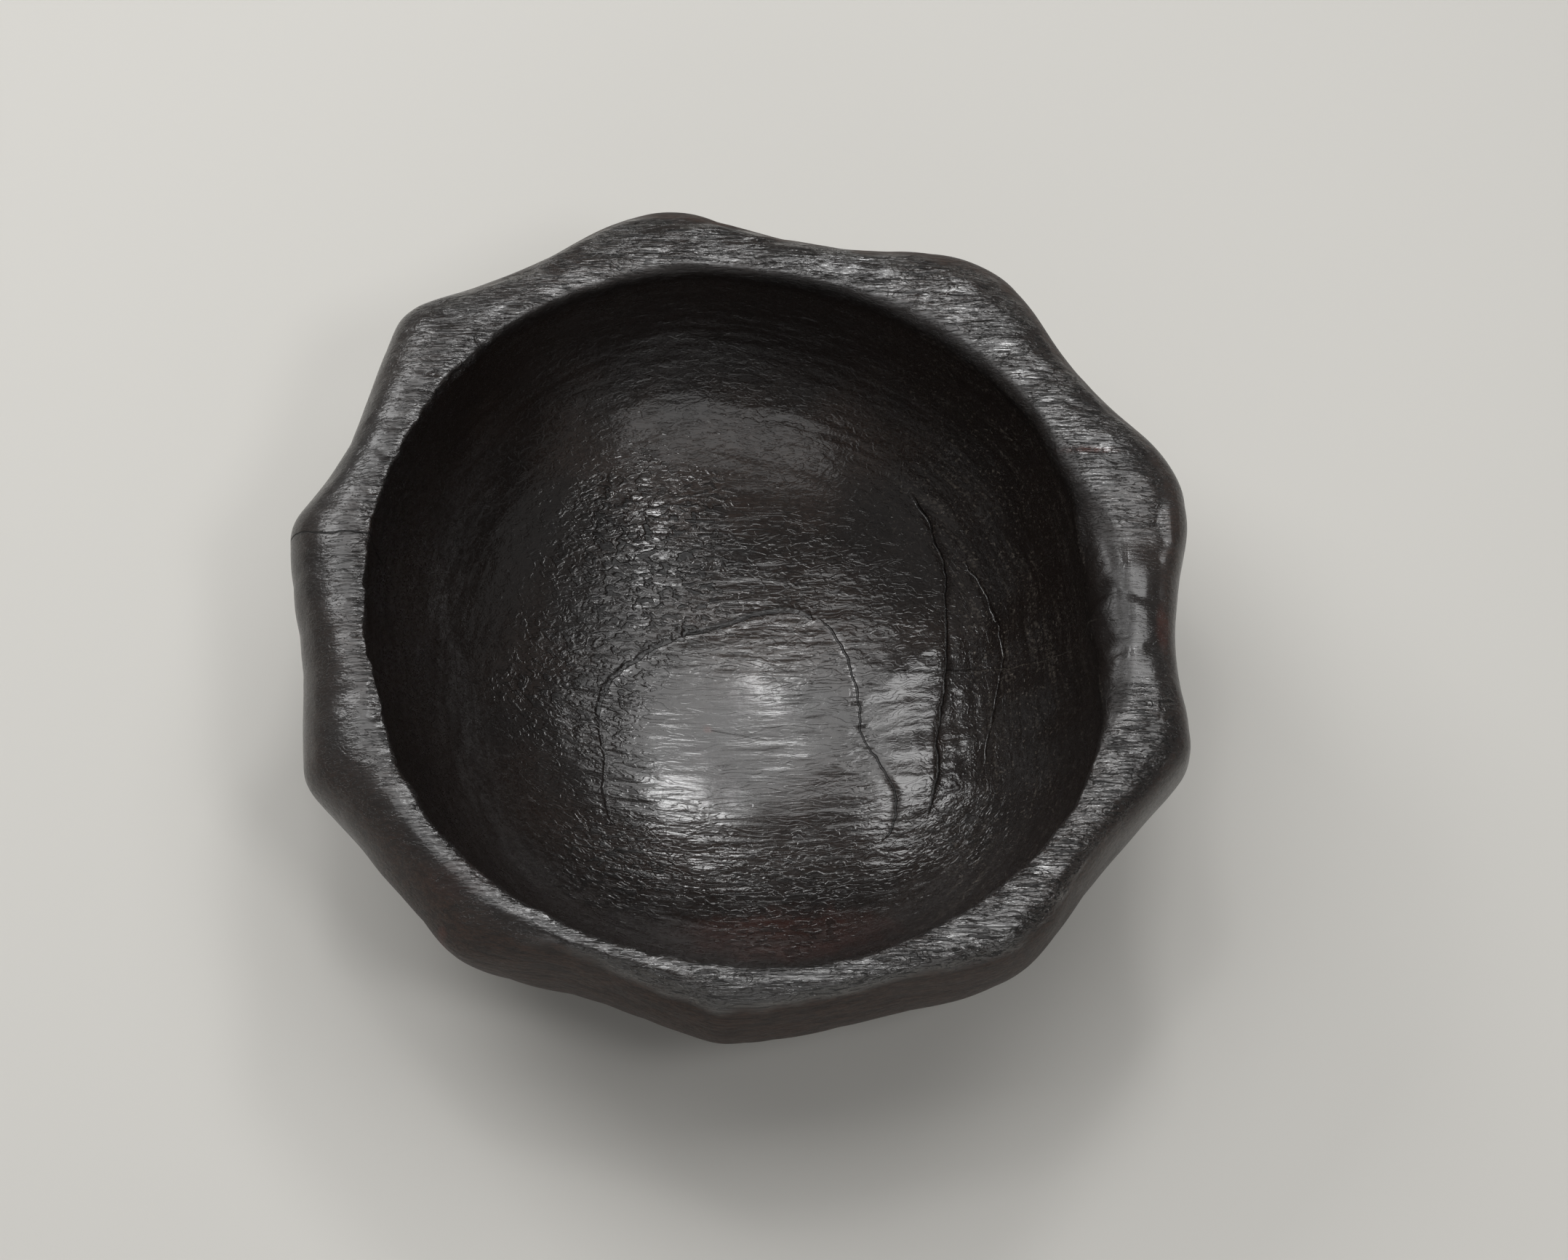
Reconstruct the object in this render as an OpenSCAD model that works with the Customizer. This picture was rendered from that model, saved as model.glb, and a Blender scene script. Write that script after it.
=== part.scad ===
// Carved wooden bowl, cut from one block, with a scalloped rim of ten uneven lobes.
// Millimetres. It stands on its flat foot at z = 0, with the wood's grain along X.

/* [Mouth] */
// Mean width of the mouth, from edge to edge
mouth_d = 210; // [140:1:300]
// How much longer the mouth is one way than the other
mouth_oval = 10; // [0:0.5:20]

/* [Rim] */
// Mean thickness of the rim at the scoops between the lobes
rim_w = 16; // [10:0.5:30]
// Mean reach of a lobe beyond the scoops beside it
lobe_out = 7.5; // [0:0.5:15]
// How far the lip rounds down, from the mouth's edge to the widest girth
lip_h = 18; // [8:1:30]

/* [Body] */
// Height from the foot to the mouth's edge
bowl_h = 97; // [70:1:140]
// Width of the flat foot
foot_d = 96; // [60:1:130]
// Thickness of the floor at the lowest point of the hollow
floor_t = 12; // [8:0.5:25]
// How far the lowest point lies from the mouth's middle, towards the front
floor_off = 6; // [0:0.5:15]

/* [Hidden] */

// Bearing of each lobe and of the scoop after it, in degrees clockwise from the back,
// counted on past a full turn
lobe_az = [348, 394, 431, 468, 501, 542, 579, 609, 643, 675];
scoop_az = [369, 413, 454, 488, 524, 558, 590, 625, 655, 690];
// How far each lobe stands out, and how thick each scoop was left, against the mean
lobe_share = [1.1, 1.5, 1.25, 1.25, 0.85, 0.6, 1, 0.95, 0.9, 1.5];
scoop_share = [0.95, 1.3, 1.05, 0.95, 0.6, 0.5, 1.1, 1.1, 1.05, 1.2];
// How sharp each lobe's tip is: 0 is a round swell, 1 a corner
lobe_corner = [0, 0, 0, 0.75, 0.25, 0.7, 0.5, 1, 0.75, 0.6];
// How square the lip is at each lobe: 2 is elliptic, more has a flatter top and a tighter shoulder
lip_square = [3.4, 3.4, 4, 4.2, 3.2, 2, 1.7, 2, 2.5, 3];
lobes = len(lobe_az);

oval_az = 137;       // bearing of the mouth's long way
lobe_point = 1.2;    // 1 is an even wave, more gives narrow lobes and broad scoops
corner_power = 1.8;  // 1 is a corner with straight sides, more hollows the sides
hollow_power = 2.3;  // 2 is an elliptic hollow, more has steeper walls and a flatter floor
wall_power = 0.85;   // 1 is a sine curve from foot to girth, less has a fuller belly
foot_stock = 2;      // wood under the foot that is planed away

steps_around = 120;
steps_wall = 12;
steps_lip = 7;
steps_hollow = 14;

mouth_r = mouth_d / 2;
hollow_h = bowl_h - floor_t;
girth_z = bowl_h - lip_h;

function mix(a, b, t) = a + (b - a) * t;
function bearing(az) = [sin(az), cos(az)];

// Radius of the mouth's edge
function mouth_edge(az) = mouth_r + mouth_oval / 4 * cos(2 * (az - oval_az));

// Thickness of the rim at scoop i and at the lobe before it
function scoop_w(i) = rim_w * scoop_share[(i + lobes) % lobes];
function lobe_w(i) = (scoop_w(i - 1) + scoop_w(i)) / 2 + lobe_out * lobe_share[i % lobes];
function lobe_at(i) = lobe_az[i % lobes] + 360 * floor(i / lobes);

// Share of the way from a scoop, t = 0, to a lobe's tip, t = 1
function swell(t, corner) =
    mix(pow(sin(90 * pow(t, lobe_point)), 2), pow(t, corner_power), corner);

// Thickness of the rim all round: down each lobe to its scoop, and up to the next lobe
function rim_run(az, i) =
    az < scoop_az[i]
        ? mix(scoop_w(i), lobe_w(i),
              swell((scoop_az[i] - az) / (scoop_az[i] - lobe_at(i)), lobe_corner[i]))
    : az < lobe_at(i + 1)
        ? mix(scoop_w(i), lobe_w(i + 1),
              swell((az - scoop_az[i]) / (lobe_at(i + 1) - scoop_az[i]), lobe_corner[(i + 1) % lobes]))
    : rim_run(az, i + 1);
function rim_at(az) = rim_run(az, 0);

// Bearings once round, from the first lobe
bearings = [for (k = [0:steps_around - 1]) lobe_az[0] + 360 * k / steps_around];
rims = [for (az = bearings) rim_at(az)];
edges = [for (az = bearings) mouth_edge(az)];
squares = [for (az = bearings) lookup(az, [for (i = [0:lobes]) [lobe_at(i), lip_square[i % lobes]]])];
rim_mean = rim_w + lobe_out / 2;

// The outline's middle, which the foot is centred under
outline = [for (k = [0:steps_around - 1]) bearing(bearings[k]) * (edges[k] + rims[k])];
outline_x = [for (p = outline) p[0]];
outline_y = [for (p = outline) p[1]];
middle = [max(outline_x) + min(outline_x), max(outline_y) + min(outline_y)] / 2;

// Points of one level all round, about the outline's middle
function level(radii, z, centre = [0, 0]) =
    [for (k = [0:steps_around - 1])
        let (p = centre - middle + bearing(bearings[k]) * radii[k])
        [p[0], p[1], z]];

// Outer wall: the foot's circle swells to the girth, and the lobes fade towards the foot
function foot_level(z) = level([for (az = bearings) foot_d / 2], z, middle);
function wall_level(s) =
    let (girth = level(edges + [for (w = rims) mix(rim_mean, w, s)], girth_z),
         foot = foot_level(0),
         out = pow(sin(90 * s), wall_power))
    [for (k = [0:steps_around - 1])
        let (p = mix(foot[k], girth[k], out))
        [p[0], p[1], girth_z * s]];

// Lip: rounds over from the girth to the mouth's edge
function lip_level(t) =
    [for (k = [0:steps_around - 1])
        let (q = 2 / squares[k],
             p = bearing(bearings[k]) * (edges[k] + rims[k] * pow(cos(90 * t), q)) - middle)
        [p[0], p[1], girth_z + lip_h * pow(sin(90 * t), q)]];

// Hollow: falls from the mouth's edge to the lowest point
function hollow_level(t) =
    let (down = pow(sin(90 * t), 2 / hollow_power))
    level(edges * pow(cos(90 * t), 2 / hollow_power), bowl_h - hollow_h * down, [0, -floor_off * down]);

// Solid through a list of levels, with a flat first level and a point after the last
module loft(levels, end_point) {
    n = steps_around;
    last = len(levels) - 1;
    polyhedron(
        points = [for (ring = levels) each ring, end_point],
        faces = [
            [for (k = [0:n - 1]) k],
            for (r = [0:last - 1], k = [0:n - 1])
                let (a = r * n + k, b = r * n + (k + 1) % n)
                each [[a, a + n, b + n], [a, b + n, b]],
            for (k = [0:n - 1])
                [last * n + k, (last + 1) * n, last * n + (k + 1) % n]
        ]);
}

// The bowl, hollowed, scalloped and planed flat underneath
module bowl() {
    levels = [
        foot_level(-foot_stock),
        for (k = [0:steps_wall - 1]) wall_level(k / steps_wall),
        for (k = [0:steps_lip - 1]) lip_level(k / steps_lip),
        for (k = [0:steps_hollow - 1]) hollow_level(k / steps_hollow)
    ];
    lowest = [-middle[0], -middle[1] - floor_off, floor_t];
    color("#2e2825")
        difference() {
            loft(levels, lowest);
            translate([-foot_d, -foot_d, -2 * foot_stock])
                cube([2 * foot_d, 2 * foot_d, 2 * foot_stock]);
        }
}

bowl();
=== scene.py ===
import math

import bpy
import numpy as np
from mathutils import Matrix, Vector


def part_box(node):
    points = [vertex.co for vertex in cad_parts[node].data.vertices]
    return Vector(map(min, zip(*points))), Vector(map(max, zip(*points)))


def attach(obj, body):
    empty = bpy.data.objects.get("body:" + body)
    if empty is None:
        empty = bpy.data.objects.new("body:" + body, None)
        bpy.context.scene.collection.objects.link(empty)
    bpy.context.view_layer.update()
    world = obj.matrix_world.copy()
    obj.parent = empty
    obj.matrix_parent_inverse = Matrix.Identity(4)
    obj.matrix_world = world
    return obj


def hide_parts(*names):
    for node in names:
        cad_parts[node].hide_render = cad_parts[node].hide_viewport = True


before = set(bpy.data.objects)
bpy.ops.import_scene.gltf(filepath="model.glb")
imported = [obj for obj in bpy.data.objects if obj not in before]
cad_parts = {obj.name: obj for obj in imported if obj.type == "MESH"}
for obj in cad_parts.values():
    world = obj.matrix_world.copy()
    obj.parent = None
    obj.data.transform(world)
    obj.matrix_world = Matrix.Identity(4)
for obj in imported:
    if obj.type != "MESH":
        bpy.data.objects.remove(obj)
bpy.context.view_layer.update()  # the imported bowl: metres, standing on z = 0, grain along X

mm = 0.001
footCorner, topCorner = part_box("bowl")
print("frame loaded, bowl", [round(v / mm) for v in topCorner - footCorner], "mm")

# The cut of the bowl, as in the solid, and its hand-cut edge: mm, and degrees clockwise from the far side
bowlCut = {
    "tall": (topCorner.z - footCorner.z) / mm,
    "mouthWide": 210,
    "mouthOval": 10,
    "ovalAz": 137,
    "rimThick": 16,
    "lobeOut": 7.5,
    "lipHigh": 18,
    "footWide": 96,
    "floorThick": 12,
    "floorOff": 6,
    "lobeAz": [348, 394, 431, 468, 501, 542, 579, 609, 643, 675],
    "scoopAz": [369, 413, 454, 488, 524, 558, 590, 625, 655, 690],
    "lobeShare": [1.1, 1.5, 1.25, 1.25, 0.85, 0.6, 1.0, 0.95, 0.9, 1.5],
    "scoopShare": [0.95, 1.3, 1.05, 0.95, 0.6, 0.5, 1.1, 1.1, 1.05, 1.2],
    "lobeCorner": [0, 0, 0, 0.75, 0.25, 0.7, 0.5, 1, 0.75, 0.6],
    "lipSquare": [3.4, 3.4, 4.0, 4.2, 3.2, 2.0, 1.7, 2.0, 2.5, 3.0],
    "lobePoint": 1.2,
    "cornerPower": 1.8,
    "cornerWorn": 1.8,  # degrees
    "hollowPower": 2.3,
    "wallPower": 0.85,
    # where the mouth's edge wanders from the oval: bearing, mm
    "edgeWander": [(15, -1.5), (50, -1.0), (67, -3.0), (80, -6.5), (91, -7.5), (100, -4.8), (111, -0.2),
                   (124, 0.8), (160, 0.0), (190, -1.8), (228, 1.0), (260, -2.0), (290, -1.0), (322, 0.8),
                   (345, 0.4)],
    # flat crest beside the mouth's edge: bearing, mm
    "crest": [(105, 0), (135, 5), (160, 5), (180, 4.5), (215, 5), (240, 4.5), (262, 0)],
    "crestMost": 0.6,  # the widest crest, as a share of the rim
    "crestWhole": 36,  # mm of crest that would take up the whole lip
    # bevel down to the mouth's edge: bearing, mm wide, and bearing, slope
    "bevel": [(0, 1.5), (20, 1.8), (45, 1.8), (67, 1.5), (80, 5), (91, 7), (100, 5), (111, 1.5), (135, 4.5),
              (185, 5), (240, 4), (262, 1), (305, 1), (335, 1.5)],
    "bevelSlope": [(0, 0.7), (60, 0.8), (91, 0.9), (111, 0.5), (150, 0.15), (185, 0.14), (225, 0.14),
                   (245, 0.1), (270, 0.3), (305, 0.3), (335, 0.6)],
    "bevelSoft": 1.0,  # mm over which its upper edge is rounded
    "bevelFade": 0.4,  # share of the hollow in which the bevel's drop runs out
    # how ragged the mouth's edge is: bearing, mm
    "edgeRagged": [(0, 0.3), (60, 0.2), (130, 0.3), (190, 0.2), (225, 0.4), (255, 1.1), (300, 1.0),
                   (335, 0.5)],
    "raggedLip": 0.75,  # share of the lip where the edge starts to be ragged
    "raggedHollow": 0.07,  # share of the hollow where that has run out
    # how much the mouth's edge is worn round, against the most worn part: bearing, size
    "edgeWorn": [(0, 1.5), (40, 2), (75, 2.5), (105, 3), (135, 4.5), (160, 4.5), (185, 4.5), (215, 5),
                 (238, 4), (255, 1.5), (300, 1.5), (335, 1.5)],
    "wornReach": 10,  # mm beside the edge
    "wornPasses": 44,
    "around": 720,  # points around, a multiple of 8
    "wallStep": 1.2,  # mm between rows of points
    "lipStep": 0.6,
    "hollowStep": 0.9,
    "footCap": 46,  # mm of the wall that the foot's disc of points takes in
    "floorCapStep": 1.05,
}


def roundTrip(az, pairs):
    # eased run through a few bearings, once round
    spots = np.array([p[0] for p in pairs], float)
    sizes = np.tile([p[1] for p in pairs], 3).astype(float)
    spots = np.concatenate([spots - 360, spots, spots + 360])
    az = az % 360
    k = np.searchsorted(spots, az, side="right") - 1
    t = (az - spots[k]) / (spots[k + 1] - spots[k])
    return sizes[k] + (sizes[k + 1] - sizes[k]) * t * t * (3 - 2 * t)


def ease(v, low, high):
    t = np.clip((v - low) / (high - low), 0, 1)
    return t * t * (3 - 2 * t)


def noiseField(seed):
    # gradient noise, about -1 to 1, one cell per unit
    rng = np.random.default_rng(seed)
    shuffled = rng.permutation(256)
    slopes = rng.normal(size=(256, 3))
    slopes /= np.linalg.norm(slopes, axis=1)[:, None]

    def sample(q):
        cell = np.floor(q).astype(int)
        part = q - cell
        eased = part ** 3 * (part * (part * 6 - 15) + 10)
        total = np.zeros(len(q))
        for corner in np.ndindex(2, 2, 2):
            h = shuffled[(cell[:, 0] + corner[0]) & 255]
            h = shuffled[(h + cell[:, 1] + corner[1]) & 255]
            h = shuffled[(h + cell[:, 2] + corner[2]) & 255]
            share = np.prod(np.where(corner, eased, 1 - eased), axis=1)
            total += share * np.sum(slopes[h] * (part - corner), axis=1)
        return total * 1.6
    return sample


def ovalEdge(az):
    c = bowlCut
    return c["mouthWide"] / 2 + c["mouthOval"] / 4 * np.cos(np.radians(2 * (az - c["ovalAz"])))


def mouthEdge(az, ragged):
    # ragged is 1 at the edge itself, and fades to 0 away from it
    torn = noiseField(41)
    spot = np.concatenate([bearing(az) * bowlCut["mouthWide"] / 2, np.zeros((len(az), 1))], 1)
    # chips of three sizes, in mm
    chips = torn(spot / 11) + 0.6 * torn(spot / 4.5 + 30) + 0.2 * torn(spot / 1.9 + 60)
    wander = roundTrip(az, bowlCut["edgeWander"])
    return ovalEdge(az) + wander + ragged * roundTrip(az, bowlCut["edgeRagged"]) * chips


def rimThickness(az):
    # the cut rim, with the lobes' corners worn round
    return np.mean([cutRim(az + bowlCut["cornerWorn"] * k / 3) for k in range(-3, 4)], axis=0)


def cutRim(az):
    # down each lobe to its scoop, and up to the next lobe
    c = bowlCut
    lobes = np.array(c["lobeAz"] + [c["lobeAz"][0] + 360], float)
    scoops = np.array(c["scoopAz"], float)
    scoopThick = c["rimThick"] * np.array(c["scoopShare"])
    lobeThick = (np.roll(scoopThick, 1) + scoopThick) / 2 + c["lobeOut"] * np.array(c["lobeShare"])
    lobeThick = np.append(lobeThick, lobeThick[0])
    corners = np.array(c["lobeCorner"] + c["lobeCorner"][:1], float)
    az = (az - lobes[0]) % 360 + lobes[0]
    k = np.clip(np.searchsorted(lobes, az, side="right") - 1, 0, len(scoops) - 1)
    lobe = np.where(az < scoops[k], k, k + 1)
    t = np.abs(az - scoops[k]) / np.abs(lobes[lobe] - scoops[k])
    soft = np.sin(math.pi / 2 * t ** c["lobePoint"]) ** 2
    rise = soft + (t ** c["cornerPower"] - soft) * corners[lobe]
    return scoopThick[k] + (lobeThick[lobe] - scoopThick[k]) * rise


def bearing(az):
    return np.stack([np.sin(np.radians(az)), np.cos(np.radians(az))], 1)


allRound = np.arange(0, 360, 0.5)
outline = bearing(allRound) * (ovalEdge(allRound) + rimThickness(allRound))[:, None]
# the mouth's middle, seen from the middle of the outline
mouthMid = -(outline.max(0) + outline.min(0)) / 2
footR = bowlCut["footWide"] / 2
girthZ = bowlCut["tall"] - bowlCut["lipHigh"]
hollowDeep = bowlCut["tall"] - bowlCut["floorThick"]


def pointsAt(flat, z):
    return np.concatenate([flat, np.broadcast_to(z, len(flat))[:, None]], 1)


def footPart(az, t):
    return pointsAt(bearing(az) * (footR * t)[:, None], 0.0)


def wallPart(az, t):
    # the foot's circle swells to the girth, and the lobes fade towards the foot
    plain = bowlCut["rimThick"] + bowlCut["lobeOut"] / 2
    girth = ovalEdge(az) + plain + (rimThickness(az) - plain) * t
    out = np.sin(math.pi / 2 * t) ** bowlCut["wallPower"]
    flat = bearing(az) * (footR + (girth - footR) * out)[:, None] + mouthMid * out[:, None]
    return pointsAt(flat, girthZ * t)


def bevelDrop(az, across):
    # how far the top face dips, by the distance from the mouth's edge
    short = roundTrip(az, bowlCut["bevel"]) - across
    soft = np.sqrt(short ** 2 + bowlCut["bevelSoft"] ** 2)
    return roundTrip(az, bowlCut["bevelSlope"]) * (short + soft) / 2


def lipPart(az, t):
    # rounds over from the girth, then runs flat along the crest
    c = bowlCut
    p = 2 / np.interp(az, c["lobeAz"], c["lipSquare"], period=360)
    edge = mouthEdge(az, ease(t, c["raggedLip"], 1.0))
    wide = ovalEdge(az) + rimThickness(az) - edge
    crest = np.minimum(roundTrip(az, c["crest"]), c["crestMost"] * wide)
    turn = 0.999 - crest / c["crestWhole"]  # under 1, so that the crest always has a length
    over = np.clip(t / turn, 0, 1) * math.pi / 2
    across = crest + (wide - crest) * np.clip(np.cos(over), 0, 1) ** p
    across = across - crest * np.clip((t - turn) / (1 - turn), 0, 1)
    z = girthZ + c["lipHigh"] * np.sin(over) ** p - bevelDrop(az, across)
    return pointsAt(bearing(az) * (edge + across)[:, None] + mouthMid, z)


def hollowPart(az, t):
    # falls from the mouth's edge to the lowest point
    c = bowlCut
    p = 2 / c["hollowPower"]
    r = mouthEdge(az, 1 - ease(t, 0.0, c["raggedHollow"])) * np.clip(np.cos(math.pi / 2 * t), 0, 1) ** p
    down = np.sin(math.pi / 2 * t) ** p
    flat = bearing(az) * r[:, None] + mouthMid - [0, c["floorOff"]] * down[:, None]
    drop = bevelDrop(az, np.zeros(len(az))) * (1 - ease(t, 0.0, c["bevelFade"]))
    return pointsAt(flat, c["tall"] - hollowDeep * down - drop)


# One walk up the section: foot, wall, lip, hollow, with lengths from a mean section
stretches = [footPart, wallPart, lipPart, hollowPart]
finely = np.linspace(0, 1, 401)
stretchRun = []
for stretch in stretches:
    sections = [stretch(np.full(len(finely), a), finely) for a in np.arange(0.0, 360, 30)]
    gaps = np.mean([np.linalg.norm(np.diff(s, axis=0), axis=1) for s in sections], axis=0)
    stretchRun.append(np.append(0, np.cumsum(gaps)))
stretchEnd = np.cumsum([run[-1] for run in stretchRun])
footWay, girthWay, mouthWay, wholeWay = stretchEnd
lipWay = mouthWay - girthWay
print("section", [round(v) for v in stretchEnd], "mm")


def sectionPoint(az, way):
    # where a bearing and a length along the section lie, in mm
    out = np.zeros((len(az), 3))
    start = 0.0
    for i, stretch in enumerate(stretches):
        on = (way >= start - 1e-6) & (way <= stretchEnd[i] + 1e-6)
        t = np.interp(way[on] - start, stretchRun[i], finely)
        out[on] = stretch(az[on], t)
        start = stretchEnd[i]
    return out


# Marks of the knife and of the wood: mm from the mouth's middle, X along the grain, Y to the far side
marks = {
    # growth rings that stand as low steps on the floor: how plain, how high the line's right side is,
    # how wide the painted shade on the drop on its left is, and the line; then its half width on the right
    "ringSteps": [
        (1.0, 0.5, 0.4, [(22, 31), (28, 26), (31, 20), (34, 10), (35, 0), (36, -7), (40, -15), (45, -23),
                         (46, -28), (45, -36), (40, -43)]),
        (1.0, 1.5, 2.2, [(-20, 25), (-14, 27), (-4, 29), (4, 32), (16, 33), (24, 29)]),
        (1.0, 0.6, 1.6, [(-42, -3), (-40, 9), (-30, 19), (-18, 26)]),
        (0.5, 0.1, 0.9, [(-36, -36), (-40, -24), (-39, -14), (-42, -1)]),
        (0.9, -0.5, 0.5, [(50, 62), (56, 52), (61, 38), (60, 27), (61, 8), (58, -5), (57, -13), (58, -22),
                          (54, -36)]),
        (0.55, -0.5, 0.5, [(66, 40), (72, 28), (76, 16), (76, 5), (73, -10), (70, -23)]),
    ],
    "ringHalf": 0.25,
    # where the knife left the lip: bearing, share of the way from girth to mouth where the top face starts
    "shoulder": [(0, 0.52), (60, 0.5), (95, 0.52), (120, 0.45), (150, 0.4), (190, 0.4), (205, 0.55),
                 (235, 0.55), (260, 0.4), (310, 0.4), (335, 0.48)],
    # how softly it starts: bearing, mm to each side
    "shoulderSoft": [(0, 2), (120, 2), (200, 3), (245, 6), (300, 7), (335, 3)],
    "shoulderRagged": (9, 6),  # mm along the grain and across it
    "shoulderRaggedDeep": 2.0,
    "wallEnds": (62, 92),  # mm down from the mouth's edge where the wall turns into floor
    # how dry and brown the outside is: bearing, share
    "dryOutside": [(0, 1.0), (40, 0.8), (75, 0.5), (110, 0.5), (140, 0.9), (180, 1.0), (225, 0.9), (245, 0.5),
                   (265, 0.25), (310, 0.25), (335, 0.7)],
    # how torn the top face is: bearing, share
    "torn": [(0, 0.9), (60, 0.9), (82, 0.6), (110, 0.9), (150, 1.0), (185, 0.8), (215, 0.25), (236, 0.3),
             (248, 0.35), (262, 0.3), (300, 0.35), (322, 0.7), (345, 0.95)],
    "tornEdge": 0.9,  # along the mouth's edge, at every bearing
    "planedSmooth": 0.85,  # what planing takes off the tearing
    "bevelSmooth": 0.5,
    "dullSlope": (0.25, 0.6),  # a bevel this steep starts to be dull, and is dull
    # drying checks: how plain, the X from which dust lies in it, and the line; then their half width
    "checks": [
        (0.45, 62, [(38, 14), (44, 13), (61, 10), (76, 5), (85, 3), (101, -3)]),
        (1.0, 900, [(-132, 26), (-124, 24.5), (-118, 23), (-112, 22), (-100, 21.5)]),
    ],
    "checkHalf": 0.3,
    # scratches in the floor, as lines, and their half width
    "scratches": [[(-9, -3.3), (8, -6.3)], [(19, -22), (33, -27)], [(-13, 23), (0, 24), (11, 23)]],
    "scratchHalf": 0.18,
    "lineReach": 6.0,  # mm beside a line that still carry it
    # dust on the wall, from X to X
    "dustSide": (20, 80),
    # wood rubbed bare: X, Y, half widths, how bare
    "bareSpots": [(117.5, -6, 1.8, 5.5, 0.45), (-72, -80, 10, 5, 0.12), (-9.5, -3, 1.3, 1.0, 1.0),
                  (14, -73, 26, 9, 0.28), (-117, 53, 4, 2.5, 0.5), (99, 47.5, 7, 0.8, 0.8),
                  (-80, -92, 1.4, 1.4, 0.7)],
    # painted sheen, lighter brown where the far wall and the upper floor shine softly: X, Y, half widths, how
    # strong
    "paintedSheenSpots": [(-10, 72, 55, 18, 0.6), (8, 30, 40, 22, 0.3)],
    # one scoop was planed smooth in a few strokes: Y of the valleys beside them, half width, depth
    "strokeValleys": [(4.5, 2.4, 0.5), (-11.5, 2.2, 0.4), (-25, 2.6, 0.45)],
    "strokeDip": (6, 24, 40, 1.6),  # the first stroke ran down from Y to Y, and up again to Y, mm deep
    "strokesFromX": 92,
    "strokesFromY": -26,
    "strokesToY": 26,
    # parts of the hollow left pebbled: X, Y, half width, how much, and how much elsewhere
    "pebbled": [(-26, 46, 32, 1.0), (-48, 8, 26, 0.8), (60, -40, 18, 0.6), (-34, -50, 22, 0.9),
                (10, -58, 30, 0.6), (20, 44, 20, 0.4)],
    "pebbledElsewhere": 0.2,
    # parts of the floor rubbed smooth: X, Y, half widths
    "smoothSpots": [(2, -12, 36, 32), (48, -6, 12, 34)],
    # the floor's middle, scraped even: X, Y, half widths
    "evenSpot": (10, -6, 54, 42),
}


def softLine(points):
    # corners cut off, three times over
    line = np.array(points, float)
    for _ in range(3):
        a = line[:-1] * 0.75 + line[1:] * 0.25
        b = line[:-1] * 0.25 + line[1:] * 0.75
        line = np.concatenate([line[:1], np.stack([a, b], 1).reshape(-1, 2), line[-1:]])
    return line


def lineGap(spots, line):
    # distance to a drawn line, negative on its right, and how far along the line, 0 to 1
    near = np.full(len(spots), 1e9)
    side = np.ones(len(spots))
    along = np.zeros(len(spots))
    runs = np.diff(line, axis=0)
    starts = np.append(0, np.cumsum(np.hypot(runs[:, 0], runs[:, 1])))
    for i, run in enumerate(runs):
        t = np.clip(((spots - line[i]) @ run) / (run @ run), 0, 1)
        gap = spots - line[i] - t[:, None] * run
        d = np.hypot(gap[:, 0], gap[:, 1])
        closer = d < near
        near[closer] = d[closer]
        side[closer] = np.where(run[0] * gap[:, 1] - run[1] * gap[:, 0] < 0, -1, 1)[closer]
        along[closer] = (starts[i] + t * (starts[i + 1] - starts[i]))[closer] / starts[-1]
    return near * side, along


def spotGap(flat, x, y, halfX, halfY):
    # distance from a spot's middle, 1 at its edge
    return np.hypot((flat[:, 0] - x) / halfX, (flat[:, 1] - y) / halfY)


def grained(p, size):
    # places for a noise field, in steps of one size along the grain and one across it
    return p / [size[0], size[1], size[1]]


def zones(p, az, way):
    # shares of top face, hollow, hollow's wall and outside at each point, with soft edges of a few mm
    ragged = noiseField(21)(grained(p, marks["shoulderRagged"])) * marks["shoulderRaggedDeep"]
    shoulder = girthWay + lipWay * roundTrip(az, marks["shoulder"])
    soft = roundTrip(az, marks["shoulderSoft"])
    wallFrom, wallTo = marks["wallEnds"]
    topFace = ease(way + ragged, shoulder - soft, shoulder + soft)
    outside = ease(way, footWay, footWay + 12) * (1 - topFace)
    topFace = topFace * (1 - ease(way, mouthWay + 0.5, mouthWay + 5))
    inside = ease(way, mouthWay - 1, mouthWay + 4)
    wall = inside * (1 - ease(way, mouthWay + wallFrom, mouthWay + wallTo))
    return topFace, inside, wall, outside * (1 - inside)


def planedShare(flat):
    # the scoop that was planed smooth
    strokes = ease(flat[:, 1], marks["strokesFromY"], marks["strokesFromY"] + 5)
    strokes = strokes * (1 - ease(flat[:, 1], marks["strokesToY"] - 8, marks["strokesToY"]))
    return strokes * (flat[:, 0] > marks["strokesFromX"])


def bevelShare(az, way):
    # the bevel was left dull
    wide = 1.1 * roundTrip(az, bowlCut["bevel"])
    share = ease(way, mouthWay - wide - 1, mouthWay - wide + 1) * (1 - ease(way, mouthWay + 2, mouthWay + 9))
    return share * ease(roundTrip(az, bowlCut["bevelSlope"]), *marks["dullSlope"])


def tornShare(az, way, flat):
    # torn top face by bearing, always torn along the mouth's edge, and planed in one scoop
    edge = marks["tornEdge"] * ease(way, mouthWay - 8, mouthWay - 3)
    share = np.maximum(roundTrip(az, marks["torn"]), edge)
    share = share * (1 - marks["planedSmooth"] * planedShare(flat))
    return share * (1 - marks["bevelSmooth"] * bevelShare(az, way))


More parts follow.
